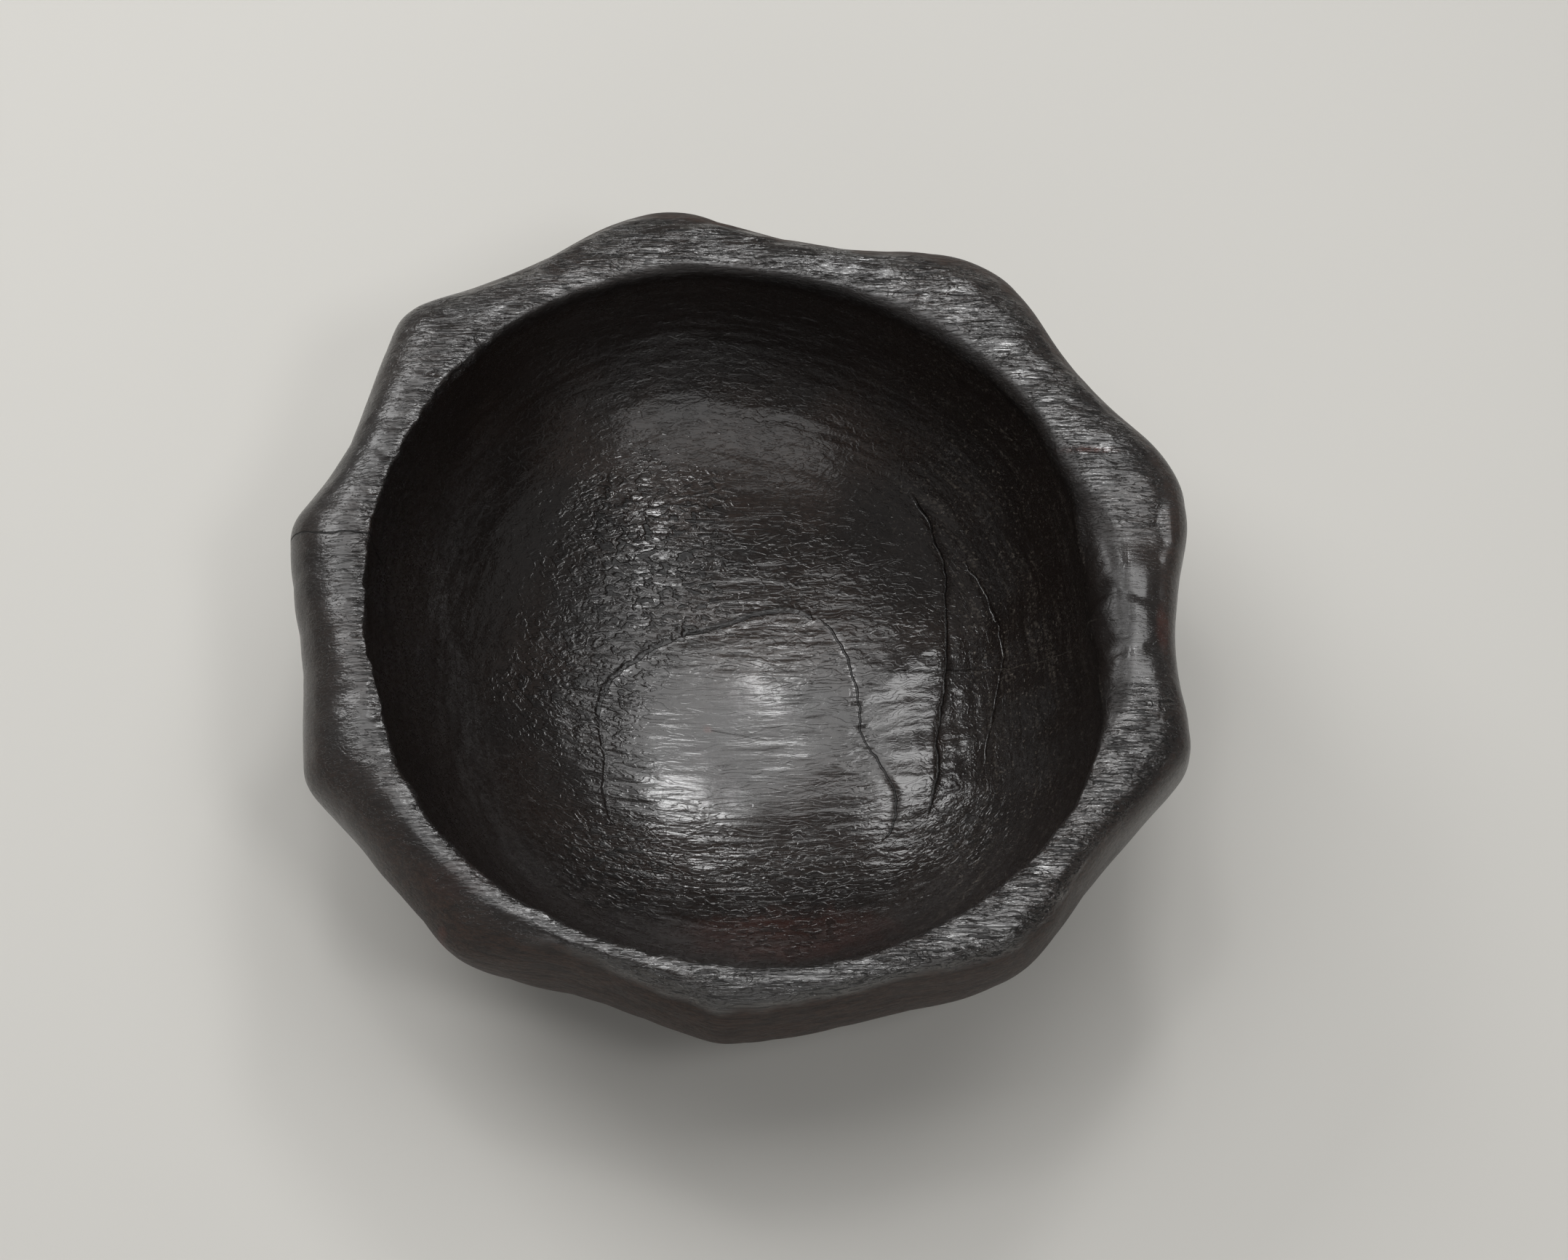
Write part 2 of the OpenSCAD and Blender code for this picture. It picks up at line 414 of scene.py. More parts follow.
# Hand work and wood movement: sizes in mm along the grain and across it, heights in mm
handWork = {
    "swell": (60, 36),
    "swellHigh": 0.55,
    "dent": (22, 15),
    "dentHigh": 0.28,
    "evenShare": 0.35,  # what scraping left of both
    "fibre": (12, 3.0),
    "fineFibre": (6, 1.9),
    "fineShare": 0.5,
    "fibreLip": 0.3,
    "fibreHollow": 0.03,
    "lump": (11, 7),
    "lumpHigh": 0.27,
    "layer": (16, 16, 2.2),  # wide both ways, and thin
    "layerLip": 0.2,
    "layerHollow": 0.12,
    "gougeTurn": 4.0,  # marks a radian
    "gougeLong": 7.0,
    "gougeHigh": 0.12,
    "facet": (1.6, 1.6, 0.2),  # how much closer than the gouge marks, round the wall and down it
    "facetHigh": 0.8,
    "facetSunk": 0.25,
    "edgeLump": (9, 2.4),
    "edgeHigh": 0.2,
    "edgeWide": 3.0,
    "chip": (8, 2.6),
    "chipLevel": (0.2, 0.55),  # noise at which a chip starts, and is whole
    "chipLeft": (40, 80),  # mm left of the mouth's middle
    "chipDeep": 0.9,
    "chipWide": 4.0,
    "chipBack": 1.5,  # mm before the edge
    "ringSharp": 0.8,
    "ringFade": 8,
    "strokeWander": 3,
    "strokeUneven": 0.8,
}


def bowlRelief(p, az, way):
    # height in mm along the surface's normal; the numbers added to places keep patterns apart
    c = handWork
    slow = noiseField(7)
    small = noiseField(8)
    fibre = noiseField(9)
    lump = noiseField(10)
    flat = p[:, :2] - mouthMid
    topFace, inside, wall, outside = zones(p, az, way)
    body = np.maximum.reduce([topFace, inside, outside, ease(way, footWay + 6, footWay + 20)])
    # the floor's middle was scraped even
    uneven = np.maximum(ease(spotGap(flat, *marks["evenSpot"]), 0.7, 1.3), 1 - inside)
    swells = c["swellHigh"] * slow(grained(p, c["swell"])) + c["dentHigh"] * small(grained(p, c["dent"]))
    lift = body * swells * (c["evenShare"] + (1 - c["evenShare"]) * uneven)
    # torn fibres, long in the grain, and the edges of growth layers, flat and thin
    torn = fibre(grained(p, c["fibre"])) + c["fineShare"] * fibre(grained(p, c["fineFibre"]) + 40)
    share = tornShare(az, way, flat)
    lift += (c["fibreLip"] * topFace * share + c["fibreHollow"] * inside) * torn
    lift += c["lumpHigh"] * topFace * lump(grained(p, c["lump"]) + 20)
    lift += (c["layerLip"] * topFace * share + c["layerHollow"] * inside) * lump(p / c["layer"] + 60)
    # gouge marks round the wall
    turned = np.concatenate([bearing(az) * c["gougeTurn"], (way / c["gougeLong"])[:, None]], 1)
    lift += c["gougeHigh"] * wall * small(turned)
    # knife facets down the outside
    lift += outside * (c["facetHigh"] * np.abs(small(turned * c["facet"] + 90)) - c["facetSunk"])
    # the mouth's edge is lumpy, and chipped on the left
    edge = np.exp(-((way - mouthWay) / c["edgeWide"]) ** 2)
    lift += c["edgeHigh"] * edge * lump(grained(p, c["edgeLump"]))
    chips = ease(lump(grained(p, c["chip"]) + 80), *c["chipLevel"]) * ease(-flat[:, 0], *c["chipLeft"])
    lift -= c["chipDeep"] * chips * np.exp(-((way - mouthWay + c["chipBack"]) / c["chipWide"]) ** 2)
    # growth rings
    inner = inside > 0
    for _, high, _, line in marks["ringSteps"]:
        gap, along = lineGap(flat[inner], softLine(line))
        ends = ease(along, 0, 0.12) * (1 - ease(along, 0.88, 1))
        step = np.tanh(gap / c["ringSharp"]) * np.exp(-np.abs(gap) / c["ringFade"]) * ends
        lift[inner] -= 0.5 * high * inside[inner] * step
    # strokes in the planed scoop
    for y, half, deep in marks["strokeValleys"]:
        aside = flat[:, 1] - y + c["strokeWander"] * slow(p / 9 + 5)
        valley = np.exp(-(aside / half) ** 2) * (1 + c["strokeUneven"] * small(p / 6 + 30))
        lift -= deep * valley * (flat[:, 0] > marks["strokesFromX"]) * topFace
    start, low, end, deep = marks["strokeDip"]
    dip = ease(flat[:, 1], start, low) * (1 - ease(flat[:, 1], low, end))
    lift -= deep * dip * (flat[:, 0] > marks["strokesFromX"]) * topFace
    return lift


def paintMasks(mesh, p, az, way):
    # where the material changes, kept on the points
    flat = p[:, :2] - mouthMid
    wander = noiseField(31)
    shake = np.stack([wander(p / 8), wander(p / 8 + 50)], 1)
    shake = shake + 0.5 * np.stack([wander(p / 2.5), wander(p / 2.5 + 9)], 1)
    topFace, inside, wall, outside = zones(p, az, way)
    dry = outside * roundTrip(az, marks["dryOutside"])
    masks = {"inside": inside, "wall": wall, "outside": dry}

    def drawLines(name, lines, wobble, allowed):
        # signed distance to the nearest line, how plain that line is here, and how wide on its left
        gaps = np.full(len(p), 50.0)
        share = np.zeros(len(p))
        broad = np.ones(len(p))
        for plain, wide, line in lines:
            gap, along = lineGap(flat[allowed] + wobble * shake[allowed], softLine(line))
            here = plain * ease(along, 0, 0.06) * (1 - ease(along, 0.94, 1))
            here = here * (1 - ease(np.abs(gap), 1, marks["lineReach"]))
            nearer = np.abs(gap) < np.abs(gaps[allowed])
            gaps[allowed] = np.where(nearer, gap, gaps[allowed])
            share[allowed] = np.where(nearer, here, share[allowed])
            broad[allowed] = np.where(nearer, wide, broad[allowed])
        masks[name + "Gap"] = gaps
        masks[name + "Share"] = share
        masks[name + "Wide"] = broad

    def softSpots(spots, wobble, low, high):
        # greatest share of a few spots with uneven edges
        share = np.zeros(len(p))
        for *spot, much in spots:
            gap = spotGap(flat, *spot) + 0.3 * wander(p / wobble)
            share = np.maximum(share, much * (1 - ease(gap, low, high)))
        return share

    inner = inside > 0.5
    upper = way > girthWay + 1
    rings = [(plain, dark, line) for plain, _, dark, line in marks["ringSteps"]]
    checks = [(plain, marks["checkHalf"], line) for plain, _, line in marks["checks"]]
    scratches = [(1.0, marks["scratchHalf"], line) for line in marks["scratches"]]
    drawLines("ring", rings, wobble=0.9, allowed=inner)
    drawLines("check", checks, wobble=0.5, allowed=upper)
    drawLines("scratch", scratches, wobble=0.1, allowed=inner)
    masks["dustSide"] = ease(flat[:, 0], *marks["dustSide"])
    dustFrom = min(fromX for _, fromX, _ in marks["checks"])
    masks["dusty"] = ease(flat[:, 0], dustFrom, dustFrom + 14)
    bare = softSpots(marks["bareSpots"], wobble=4, low=0.5, high=1.5)
    masks["bareWood"] = bare * (way > girthWay - 30)
    masks["faded"] = softSpots(marks["paintedSheenSpots"], wobble=14, low=0.3, high=1.3) * inside
    masks["bevel"] = bevelShare(az, way)
    pebbled = np.full(len(p), marks["pebbledElsewhere"])
    for x, y, size, much in marks["pebbled"]:
        gap = spotGap(flat, x, y, 1, 1) / size + 0.25 * wander(p / 12)
        pebbled = np.maximum(pebbled, much * (1 - ease(gap, 0.4, 1.3)))
    masks["pebbled"] = pebbled * inside
    masks["ridged"] = np.ones(len(p))
    for spot in marks["smoothSpots"]:
        gap = spotGap(flat, *spot) + 0.3 * wander(p / 9)
        masks["ridged"] = np.minimum(masks["ridged"], ease(gap, 0.5, 1.2))
    masks["torn"] = topFace * tornShare(az, way, flat)
    masks["satin"] = np.clip(topFace - masks["torn"], 0, 1) * (1 - planedShare(flat)) + outside - dry
    for name, values in masks.items():
        layer = mesh.attributes.new(name, "FLOAT", "POINT")
        layer.data.foreach_set("value", np.asarray(values, np.float32))
    # bearing and length along the section, for marks that run round the wall
    turned = np.concatenate([bearing(az) * bowlCut["mouthWide"] / 2, way[:, None]], 1) * mm
    layer = mesh.attributes.new("turned", "FLOAT_VECTOR", "POINT")
    layer.data.foreach_set("vector", turned.astype(np.float32).ravel())


def squareDisc(half):
    # a disc of quads facing down: square rings pulled round, with 8 * half points on its edge
    i, j = np.meshgrid(np.arange(-half, half + 1), np.arange(-half, half + 1), indexing="ij")
    i = i.ravel()
    j = j.ravel()
    ring = np.maximum(abs(i), abs(j))
    safe = np.maximum(ring, 1)
    wide = abs(i) >= abs(j)
    turn = np.where(wide, 45 * j / safe * np.sign(i), 90 - 45 * i / safe * np.sign(j))
    turn = turn + np.where(np.where(wide, i, j) < 0, 180, 0)
    side = 2 * half + 1
    k = np.arange(side * side).reshape(side, side)
    quads = np.stack([k[:-1, :-1], k[1:, :-1], k[1:, 1:], k[:-1, 1:]], -1).reshape(-1, 4)
    edge = np.where(ring == half)[0]
    edge = edge[np.argsort(np.round(turn[edge] % 360, 6))]
    return turn % 360, ring / half, quads, edge


def pointNormals(p, faces):
    a, b, c, d = (p[faces[:, i]] for i in range(4))
    n = np.cross(c - a, d - b)
    out = np.zeros_like(p)
    for i in range(4):
        np.add.at(out, faces[:, i], n)
    return out / np.maximum(np.linalg.norm(out, axis=1), 1e-12)[:, None]


def wearMouthEdge(points, grid, rows, az):
    # each pass moves a row a little towards the mean of its neighbours
    worn = roundTrip(az, bowlCut["edgeWorn"])
    share = (worn / worn.max())[None, :, None] ** 2
    near = np.exp(-((rows - mouthWay) / bowlCut["wornReach"]) ** 2)[1:-1, None, None]
    p = points[grid]
    for _ in range(bowlCut["wornPasses"]):
        p[1:-1] += 0.5 * near * share * ((p[:-2] + p[2:]) / 2 - p[1:-1])
    points[grid] = p


def bakeMap(mesh, faces, az, way):
    # two round patches: the outside up to the girth, and the lip with the hollow
    radius = 0.285
    margin = 0.005
    middle = radius + margin
    outer = (way[faces].mean(1) < girthWay)[:, None]
    share = np.where(outer, way[faces] / girthWay, (wholeWay - way[faces]) / (wholeWay - girthWay))
    turn = np.radians(az[faces])
    u = np.where(outer, middle - share * radius * np.sin(turn), 1 - middle + share * radius * np.sin(turn))
    v = np.where(outer, middle, 1 - middle) + share * radius * np.cos(turn)
    layer = mesh.uv_layers.new(name="OFBake")
    layer.data.foreach_set("uv", np.stack([u, v], -1).astype(np.float32).ravel())


def makeBowl():
    c = bowlCut
    n = c["around"]
    half = n // 8
    turn, share, quads, edge = squareDisc(half)
    footCapWay = footWay + c["footCap"]
    floorCapWay = half * c["floorCapStep"]
    spans = [(footCapWay, girthWay, c["wallStep"]), (girthWay, mouthWay, c["lipStep"]),
             (mouthWay, wholeWay - floorCapWay, c["hollowStep"])]
    rows = [np.linspace(low, high, round((high - low) / step), endpoint=False) for low, high, step in spans]
    rows = np.concatenate(rows)[1:]
    ringAz = np.arange(n) * 360 / n
    az = np.concatenate([turn, np.tile(ringAz, len(rows)), turn])
    way = np.concatenate([share * footCapWay, np.repeat(rows, n), wholeWay - share * floorCapWay])
    # faces: foot disc, rows of quads, floor disc turned over
    grid = len(turn) + np.arange(len(rows) * n).reshape(len(rows), n)
    floorStart = len(turn) + len(rows) * n
    lines = [edge, *grid, floorStart + edge]
    faces = [quads]
    for low, high in zip(lines[:-1], lines[1:]):
        faces.append(np.stack([low, high, np.roll(high, -1), np.roll(low, -1)], 1))
    faces.append(quads[:, ::-1] + floorStart)
    faces = np.concatenate(faces)
    points = sectionPoint(az, way)
    wearMouthEdge(points, grid, rows, ringAz)
    shaped = points + pointNormals(points, faces) * bowlRelief(points, az, way)[:, None]
    shaped[:, 2] = np.maximum(shaped[:, 2], 0)
    mesh = bpy.data.meshes.new("bowl_carved")
    mesh.vertices.add(len(shaped))
    mesh.vertices.foreach_set("co", (shaped * mm).astype(np.float32).ravel())
    mesh.loops.add(faces.size)
    mesh.loops.foreach_set("vertex_index", faces.astype(np.int32).ravel())
    mesh.polygons.add(len(faces))
    mesh.polygons.foreach_set("loop_start", np.arange(0, faces.size, 4, dtype=np.int32))
    mesh.polygons.foreach_set("use_smooth", np.ones(len(faces), bool))
    mesh.update(calc_edges=True)
    bakeMap(mesh, faces, az, way)
    paintMasks(mesh, points, az, way)
    piece = bpy.data.objects.new("bowl_carved", mesh)
    bpy.context.scene.collection.objects.link(piece)
    print("bowl mesh", len(shaped), "points", len(faces), "faces")
    return piece


def linearColour(code):
    # sRGB hex to linear
    parts = [int(code[i:i + 2], 16) / 255 for i in (1, 3, 5)]
    return [v / 12.92 if v <= 0.04045 else ((v + 0.055) / 1.055) ** 2.4 for v in parts] + [1.0]


def addNode(tree, kind, settings=None, links=None):
    # one node with its own fields or socket values, and links into it
    node = tree.nodes.new(kind)
    for name, value in (settings or {}).items():
        if isinstance(name, str) and hasattr(node, name):
            setattr(node, name, value)
        else:
            node.inputs[name].default_value = value
    for name, output in (links or {}).items():
        tree.links.new(output, node.inputs[name])
    return node


# Blackened hardwood, knife cut and waxed: near-black brown whose satin shine breaks up on the torn grain
woodLook = {
    "black": "#16110f",
    "brown": "#3a2d26",
    "outerBrown": "#392921",
    "bareRed": "#45221a",
    # painted shade: near-black laid in cracks, gaps, ring lines, low splinters and on the bevel
    "paintedShade": "#0c0908",
    "dust": "#5f5952",
    "roughWaxed": 0.19,
    "roughPlaned": 0.46,
    "roughDry": 0.66,
    "waxShare": 1.0,
    "waxFloor": 0.5,
    "waxRough": 0.12,
    "roughVaries": (-0.05, 0.08),
    "roughPatch": 0.05,
    "roughBevel": 0.12,  # added on the bevel, and in open gaps
    "roughOpened": 0.12,
    "satinDull": 0.65,  # how far the smooth top face lost its wax
    # patterns: mm along the grain, mm across it, detail, distortion, and a shift that keeps them apart
    "fibre": (8.0, 0.85, 3.0, 0.4, 0.0),
    "splinter": (3.0, 0.45, 2.0, 0.3, 7.0),
    "hair": (1.6, 0.42, 2.0, 0.2, 13.0),
    "speck": (1.1, 0.9, 1.0, 0.0, 53.0),
    "crack": (9.0, 0.7, 2.0, 0.5, 47.0),
    "grain": (45.0, 1.8, 3.0, 0.3, 59.0),
    "mottle": (5.0, 4.0, 3.0, 0.6, 17.0),
    "pebble": (3.6, 2.2, 1.5, 0.8, 43.0),
    "patch": (14.0, 7.0, 2.0, 0.5, 23.0),
    "cloud": (40.0, 26.0, 2.0, 0.4, 29.0),
    # growth layers cut across, whose edges lie about 1.3 mm apart: their swells, as above
    "lipLayer": (14.0, 4.0, 1.5, 0.4, 3.0),
    "floorLayer": (22.0, 3.2, 1.5, 0.2, 5.0),
    # the same with mm round the wall, at the mouth's width, and mm down it, and gouge marks
    "wallLayer": (9.0, 3.0, 1.5, 0.4, 37.0),
    "gouge": (30.0, 2.6, 3.0, 0.4, 31.0),
    "layersPerSwell": 10,
    # depths in mm
    "fibreDeep": 0.17,
    "grainDeep": 0.12,
    "splinterDeep": 0.1,
    "hairDeep": 0.04,
    "crackDeep": 0.3,
    "lipLayerDeep": 0.14,
    "floorLayerDeep": 0.07,
    "wallLayerDeep": 0.02,
    "pebbleDeep": 0.22,
    "scaleDeep": 0.02,
    "speckDeep": 0.07,
    "mottleDeep": 0.16,
    "gougeDeep": 0.06,
    "ringDeep": 0.32,
    "checkDeep": 0.6,
    "scratchDeep": 0.1,
    # how strong a pattern is in one place, as a share
    "crackSatin": 0.3,
    "crackOutside": 0.35,
    "gapFloor": 0.7,
    "gapLip": 0.95,
    "mottleWall": 0.5,
    "mottleOutside": 0.5,
    "mottleSatin": 0.9,
    "mottleBevel": 2.0,
    "speckOutside": 0.6,
    "hairAll": 0.5,
    "hairTorn": 0.4,
    # painted shade: how much less brown the hollow's wall keeps
    "wallPaintedShade": 0.75,
    # painted shade on the bevel, as a share of the shade colour
    "bevelPaintedShade": 0.5,
    "dustStreak": 0.4,
    # levels of a pattern or mask where something starts and is full, and where given, its share at both
    "lineEdge": (0.4, 1.2, 1.0, 0.0),
    "layerDrop": (0.78, 1.0, 1.0, 0.0),
    "layerGap": (0.62, 0.82),
    "ringWorn": (0.35, 0.47, 0.75, 1.0),
    "crackLevel": (0.56, 0.61),
    "fibreBreaks": (0.42, 0.55, 0.15, 1.0),
    "ridgedShare": (0.0, 1.0, 0.4, 1.0),
    "pebbleGap": (0.41, 0.49, 1.0, 0.0),
    "pebbleTop": (0.4, 0.53),
    "lipRugged": (0.4, 0.58, 0.4, 1.2),
    "fibreTop": (0.3, 0.7),
    "grainTop": (0.35, 0.65),
    "stainThin": (0.35, 0.7, 0.03, 0.3),
    "grainBrown": (0.38, 0.6, 0.3, 1.0),
    "splinterShade": (0.42, 0.62, 0.45, 0.0),
    "bareLevel": (0.3, 0.6, 0.5, 1.0),
    "dustSpeck": (0.64, 0.72, 0.0, 0.55),
    "dustGouge": (0.5, 0.7),
    "dustFibre": (0.45, 0.65),
    "dustCheck": (0.4, 0.6, 0.1, 0.9),
    "hairShine": (0.3, 0.7),
    "patchShine": (0.35, 0.7),
}


def blackenedWood():
    look = woodLook
    material = bpy.data.materials.new("blackened_hardwood_knife_cut_waxed")
    material.use_nodes = True
    tree = material.node_tree
    tree.nodes.clear()
    place = addNode(tree, "ShaderNodeTexCoord").outputs["Object"]
    turned = addNode(tree, "ShaderNodeAttribute", {"attribute_name": "turned"}).outputs["Vector"]

    def pattern(name, along=place, roundWall=False):
        longMm, wideMm, detail, distortion, shift = look[name]
        sizes = (longMm, longMm, wideMm) if roundWall else (longMm, wideMm, wideMm)
        moved = addNode(tree, "ShaderNodeMapping",
                        {"Scale": [1 / v / mm for v in sizes], "Location": (shift, shift, shift)},
                        {"Vector": along})
        return addNode(tree, "ShaderNodeTexNoise",
                       {"Scale": 1.0, "Detail": detail, "Roughness": 0.55, "Distortion": distortion},
                       {"Vector": moved.outputs["Vector"]}).outputs["Fac"]

    def mask(name):
        return addNode(tree, "ShaderNodeAttribute", {"attribute_name": name}).outputs["Fac"]

    def maths(how, a, b=0.0):
        node = addNode(tree, "ShaderNodeMath", {"operation": how})
        for i, v in enumerate((a, b)):
            if isinstance(v, (int, float)):
                node.inputs[i].default_value = v
            else:
                tree.links.new(v, node.inputs[i])
        return node.outputs[0]

    def times(*values):
        total = values[0]
        for v in values[1:]:
            total = maths("MULTIPLY", total, v)
        return total

    def plus(*values):
        total = values[0]
        for v in values[1:]:
            total = maths("ADD", total, v)
        return total

    def ramp(value, low, high, outLow=0.0, outHigh=1.0):
        return addNode(tree, "ShaderNodeMapRange",
                       {"interpolation_type": "SMOOTHSTEP", "From Min": low, "From Max": high,
                        "To Min": outLow, "To Max": outHigh}, {"Value": value}).outputs["Result"]

    def blend(share, a, b):
        node = addNode(tree, "ShaderNodeMix", {"data_type": "RGBA"}, {0: share})
        for socket, v in ((6, a), (7, b)):
            if isinstance(v, str):
                node.inputs[socket].default_value = linearColour(v)
            else:
                tree.links.new(v, node.inputs[socket])
        return node.outputs[2]

    def layered(field):
        # each layer rises slowly to its edge and drops to the next, with a gap under the edge painted dark as
        # shade
        rise = maths("FRACT", times(field, look["layersPerSwell"]))
        return times(rise, ramp(rise, *look["layerDrop"])), ramp(rise, *look["layerGap"])

    def drawn(name):
        # a line from its signed distance, with soft sides, and its own width on its left
        gap = mask(name + "Gap")
        left = maths("DIVIDE", gap, mask(name + "Wide"))
        apart = maths("MAXIMUM", left, times(gap, -1 / marks[name + "Half"]))
        return times(ramp(apart, *look["lineEdge"]), mask(name + "Share"))

    fibre = pattern("fibre")
    splinter = pattern("splinter")
    hair = pattern("hair")
    lipLayer, lipGap = layered(pattern("lipLayer"))
    floorLayer, floorGap = layered(pattern("floorLayer"))
    wallLayer = layered(pattern("wallLayer", turned, True))[0]
    pebble = pattern("pebble")
    speck = pattern("speck")
    crack = pattern("crack")
    mottle = pattern("mottle")
    patch = pattern("patch")
    grain = pattern("grain")
    cloud = pattern("cloud")
    gouge = pattern("gouge", turned, True)
    inside = mask("inside")
    wall = mask("wall")
    outside = mask("outside")
    torn = mask("torn")
    satin = mask("satin")
    floor = maths("SUBTRACT", inside, wall)
    ridged = mask("ridged")
    bevel = mask("bevel")
    pebbled = times(mask("pebbled"), ridged)
    # drawn lines, cracks and gaps, which are open, and painted dark as shade
    ringLine = times(drawn("ring"), ramp(mottle, *look["ringWorn"]))
    checkLine = drawn("check")
    scratchLine = drawn("scratch")
    cracked = plus(torn, times(satin, look["crackSatin"]), times(outside, look["crackOutside"]))
    cracks = times(cracked, ramp(crack, *look["crackLevel"]))
    broken = ramp(fibre, *look["fibreBreaks"])
    layerFloor = times(maths("MAXIMUM", floor, pebbled), ramp(ridged, *look["ridgedShare"]))
    layerGaps = plus(times(layerFloor, floorGap, look["gapFloor"]), times(torn, lipGap, look["gapLip"]))
    gaps = times(broken, layerGaps)
    gaps = maths("MAXIMUM", gaps, times(pebbled, ramp(pebble, *look["pebbleGap"])))
    openGapsShaded = maths("MAXIMUM", maths("MAXIMUM", ringLine, checkLine), maths("MAXIMUM", cracks, gaps))

    # height in mm: torn fibres and layers on the lip
    ruggedLip = times(torn, ramp(patch, *look["lipRugged"]))
    lipFibres = plus(times(ramp(fibre, *look["fibreTop"]), look["fibreDeep"]),
                     times(splinter, look["splinterDeep"]), times(lipLayer, look["lipLayerDeep"]))
    height = times(ruggedLip, lipFibres)
    # layers on the floor, gouge marks and mottling on the wall, and pebbles
    height = plus(height, times(layerFloor, floorLayer, look["floorLayerDeep"]))
    wallMarks = plus(times(gouge, look["gougeDeep"]), times(mottle, look["mottleDeep"] * look["mottleWall"]))
    height = plus(height, times(wall, wallMarks))
    height = plus(height, times(pebbled, ramp(pebble, *look["pebbleTop"]), look["pebbleDeep"]))
    scaly = plus(times(wall, look["wallLayerDeep"]), times(pebbled, look["scaleDeep"]))
    height = plus(height, times(wallLayer, scaly))
    # mottling, specks and grain outside and on the smooth top face, and fine hairs all over
    mottled = plus(times(outside, look["mottleOutside"]), times(satin, look["mottleSatin"]),
                   times(bevel, look["mottleBevel"]))
    height = plus(height, times(mottle, look["mottleDeep"], mottled))
    height = plus(height, times(speck, look["speckDeep"], plus(times(outside, look["speckOutside"]), satin)))
    height = plus(height, times(outside, ramp(grain, *look["grainTop"]), look["grainDeep"]))
    height = plus(height, times(hair, look["hairDeep"], plus(look["hairAll"], times(torn, look["hairTorn"]))))
    cuts = plus(times(ringLine, look["ringDeep"]), times(checkLine, look["checkDeep"]),
                times(scratchLine, look["scratchDeep"]), times(cracks, look["crackDeep"]))
    height = maths("SUBTRACT", height, cuts)
    bump = addNode(tree, "ShaderNodeBump", {"Strength": 1.0, "Distance": mm}, {"Height": height})

    # colour: black stain over brown, painted shade on the hollow's wall, on the bevel and in gaps, a painted
    # sheen of lighter brown on the far wall, red wood where it is rubbed bare, dust on the wall and in the
    # check
    # painted shade: the hollow's wall keeps less brown; painted sheen: lighter brown spots on the far wall
    # and the upper floor
    wallUnshaded = maths("SUBTRACT", 1.0, times(wall, look["wallPaintedShade"]))
    thinStainUnshaded = times(ramp(cloud, *look["stainThin"]), wallUnshaded)
    colour = blend(plus(thinStainUnshaded, mask("faded")), look["black"], look["brown"])
    colour = blend(times(outside, ramp(grain, *look["grainBrown"])), colour, look["outerBrown"])
    # painted shade in the low splinters
    colour = blend(ramp(splinter, *look["splinterShade"]), colour, look["paintedShade"])
    colour = blend(times(mask("bareWood"), ramp(patch, *look["bareLevel"])), colour, look["bareRed"])
    # painted shade: cracks, gaps, ring lines and the bevel darkened towards the shade colour
    colour = blend(maths("MAXIMUM", openGapsShaded, times(bevel, look["bevelPaintedShade"])), colour, look["paintedShade"])
    streaks = times(ramp(gouge, *look["dustGouge"]), ramp(fibre, *look["dustFibre"]), look["dustStreak"])
    dusty = plus(ramp(speck, *look["dustSpeck"]), streaks)
    colour = blend(times(wall, mask("dustSide"), dusty), colour, look["dust"])
    colour = blend(times(checkLine, mask("dusty"), ramp(splinter, *look["dustCheck"])), colour, look["dust"])

    # shine: waxed, but for the dry outside, the bevel and whatever is open
    waxed = look["roughWaxed"]
    shine = plus(ramp(hair, *look["hairShine"], *[waxed + v for v in look["roughVaries"]]),
                 times(outside, look["roughDry"] - waxed),
                 ramp(patch, *look["patchShine"], 0.0, look["roughPatch"]),
                 times(satin, look["roughPlaned"] - waxed),
                 times(bevel, look["roughBevel"]),
                 times(openGapsShaded, look["roughOpened"]))
    dull = maths("MAXIMUM", maths("MAXIMUM", outside, openGapsShaded),
                 maths("MAXIMUM", times(satin, look["satinDull"]), bevel))
    wax = times(maths("SUBTRACT", 1.0, dull), ramp(floor, 0.0, 1.0, look["waxShare"], look["waxFloor"]))
    shader = addNode(tree, "ShaderNodeBsdfPrincipled",
                     {"IOR": 1.43, "Coat Roughness": look["waxRough"], "Coat IOR": 1.56},
                     {"Base Color": colour, "Roughness": shine, "Coat Weight": wax,
                      "Normal": bump.outputs["Normal"], "Coat Normal": bump.outputs["Normal"]})
    addNode(tree, "ShaderNodeOutputMaterial", None, {"Surface": shader.outputs["BSDF"]})
    return material


bowl = makeBowl()
bowl.data.materials.append(blackenedWood())
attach(bowl, "root")
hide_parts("bowl")
print("bowl dressed")

# Plain pale floor and backdrop, with soft lamps where the shine in the photograph puts them
studio = {
    "floorColour": "#c9c7c2",
    "floorWide": 12.0,
    "backdropColour": "#d8d6d1",
    "backdropFrom": 0.35,  # m from the bowl where the floor starts to fade into the backdrop
    "backdropTo": 1.0,
    "worldColour": "#f3f3f2",
    "worldStrength": 0.19,
    "lampAim": 0.6,  # share of the bowl's height
    "lamps": [  # bearing clockwise from the far side, elevation, distance m, width m, height m, watts
        ("lampSky", -4, 76, 1.3, 1.5, 0.8, 9.4),
        ("lampBack", 14, 54, 1.2, 0.2, 0.2, 2.2),
        ("lampLeft", -49, 41, 1.2, 0.5, 0.4, 4.0),
        ("lampTop", -20, 75, 1.2, 0.15, 0.15, 1.0),
        ("lampFront", 139, 63, 1.2, 0.2, 0.2, 2.0),
        ("lampLow", 180, 21, 1.5, 1.6, 1.1, 4.4),
    ],
}


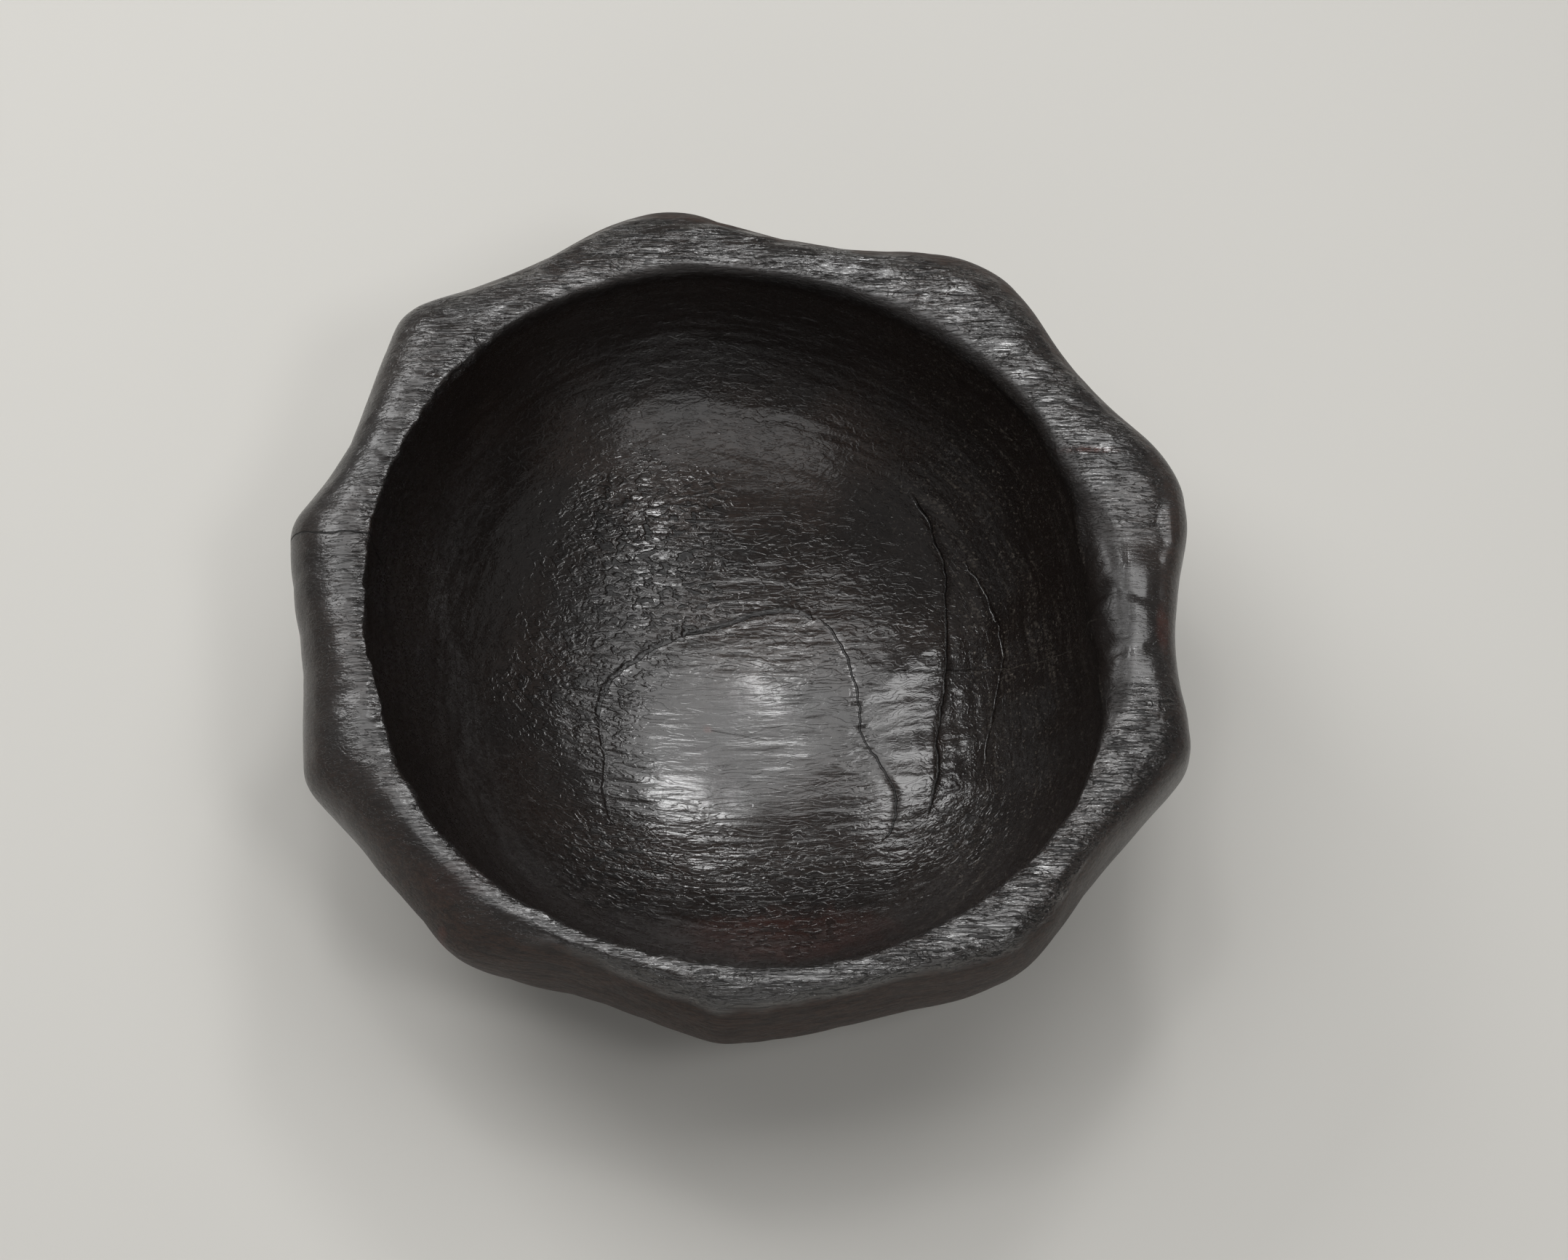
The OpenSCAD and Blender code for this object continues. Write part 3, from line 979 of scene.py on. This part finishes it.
def paleBoard():
    look = studio
    material = bpy.data.materials.new("pale_board_matt")
    material.use_nodes = True
    tree = material.node_tree
    tree.nodes.clear()
    board = addNode(tree, "ShaderNodeBsdfPrincipled",
                    {"Base Color": linearColour(look["floorColour"]), "Roughness": 0.9,
                     "Specular IOR Level": 0.1})
    # far off, the camera sees the board run into the backdrop
    place = addNode(tree, "ShaderNodeTexCoord").outputs["Object"]
    away = addNode(tree, "ShaderNodeVectorMath", {"operation": "LENGTH"}, {0: place}).outputs["Value"]
    far = addNode(tree, "ShaderNodeMapRange",
                  {"interpolation_type": "SMOOTHSTEP", "From Min": look["backdropFrom"],
                   "From Max": look["backdropTo"]}, {"Value": away}).outputs["Result"]
    seen = addNode(tree, "ShaderNodeLightPath").outputs["Is Camera Ray"]
    share = addNode(tree, "ShaderNodeMath", {"operation": "MULTIPLY"}, {0: far, 1: seen}).outputs[0]
    pale = addNode(tree, "ShaderNodeEmission",
                   {"Color": linearColour(look["backdropColour"]), "Strength": 1.0})
    mixed = addNode(tree, "ShaderNodeMixShader", None,
                    {0: share, 1: board.outputs["BSDF"], 2: pale.outputs["Emission"]})
    addNode(tree, "ShaderNodeOutputMaterial", None, {"Surface": mixed.outputs["Shader"]})
    return material


def makeFloor():
    half = studio["floorWide"] / 2
    corners = [(-half, -half, 0), (half, -half, 0), (half, half, 0), (-half, half, 0)]
    mesh = bpy.data.meshes.new("floor")
    mesh.from_pydata(corners, [], [(0, 1, 2, 3)])
    floor = bpy.data.objects.new("floor", mesh)
    bpy.context.scene.collection.objects.link(floor)
    mesh.materials.append(paleBoard())


def makeWorld():
    # a dim room to the bowl, and the backdrop's colour to the camera
    look = studio
    world = bpy.data.worlds.new("pale_room")
    bpy.context.scene.world = world
    world.use_nodes = True
    tree = world.node_tree
    tree.nodes.clear()
    sky = addNode(tree, "ShaderNodeBackground",
                  {"Color": linearColour(look["worldColour"]), "Strength": look["worldStrength"]})
    pale = addNode(tree, "ShaderNodeBackground",
                   {"Color": linearColour(look["backdropColour"]), "Strength": 1.0})
    seen = addNode(tree, "ShaderNodeLightPath").outputs["Is Camera Ray"]
    mixed = addNode(tree, "ShaderNodeMixShader", None,
                    {0: seen, 1: sky.outputs["Background"], 2: pale.outputs["Background"]})
    addNode(tree, "ShaderNodeOutputWorld", None, {"Surface": mixed.outputs["Shader"]})


def makeLamps():
    target = Vector((0, 0, topCorner.z * studio["lampAim"]))
    for name, az, rise, far, wide, high, watts in studio["lamps"]:
        lamp = bpy.data.lights.new(name, "AREA")
        lamp.shape = "RECTANGLE"
        lamp.size = wide
        lamp.size_y = high
        lamp.energy = watts
        holder = bpy.data.objects.new(name, lamp)
        bpy.context.scene.collection.objects.link(holder)
        a = math.radians(az)
        e = math.radians(rise)
        way = Vector((math.sin(a) * math.cos(e), math.cos(a) * math.cos(e), math.sin(e)))
        holder.location = target + far * way
        holder.rotation_euler = (target - holder.location).to_track_quat("-Z", "Y").to_euler()


# The photograph's view: high over the near side, with the mouth a little left of and above the frame's middle
view = {
    "frameWide": 2156,
    "frameTall": 1733,
    "sensor": 36.0,
    "elevation": 66,
    "distance": 1.1,
    "pixelsPerMm": 4.98,  # at the mouth's middle
    "mouthPixel": (1014, 830),
}


def makeCamera():
    look = view
    mouth = Vector((mouthMid[0] * mm, mouthMid[1] * mm, topCorner.z))
    e = math.radians(look["elevation"])
    back = Vector((0, -math.cos(e), math.sin(e)))
    upward = Vector((0, math.sin(e), math.cos(e)))
    perPixel = mm / look["pixelsPerMm"]
    aside = (look["frameWide"] / 2 - look["mouthPixel"][0]) * perPixel
    below = (look["frameTall"] / 2 - look["mouthPixel"][1]) * perPixel
    camera = bpy.data.cameras.new("camera")
    camera.sensor_fit = "HORIZONTAL"
    camera.sensor_width = look["sensor"]
    camera.lens = look["sensor"] * look["pixelsPerMm"] / mm * look["distance"] / look["frameWide"]
    camera.clip_start = 0.01
    holder = bpy.data.objects.new("camera", camera)
    bpy.context.scene.collection.objects.link(holder)
    mouth.x += aside
    holder.location = mouth + back * look["distance"]
    aim = mouth - upward * below
    holder.rotation_euler = (aim - holder.location).to_track_quat("-Z", "Y").to_euler()
    bpy.context.scene.camera = holder


makeFloor()
makeWorld()
makeLamps()
makeCamera()
bpy.context.scene.view_settings.view_transform = "Standard"
print("stage, lamps and camera set")
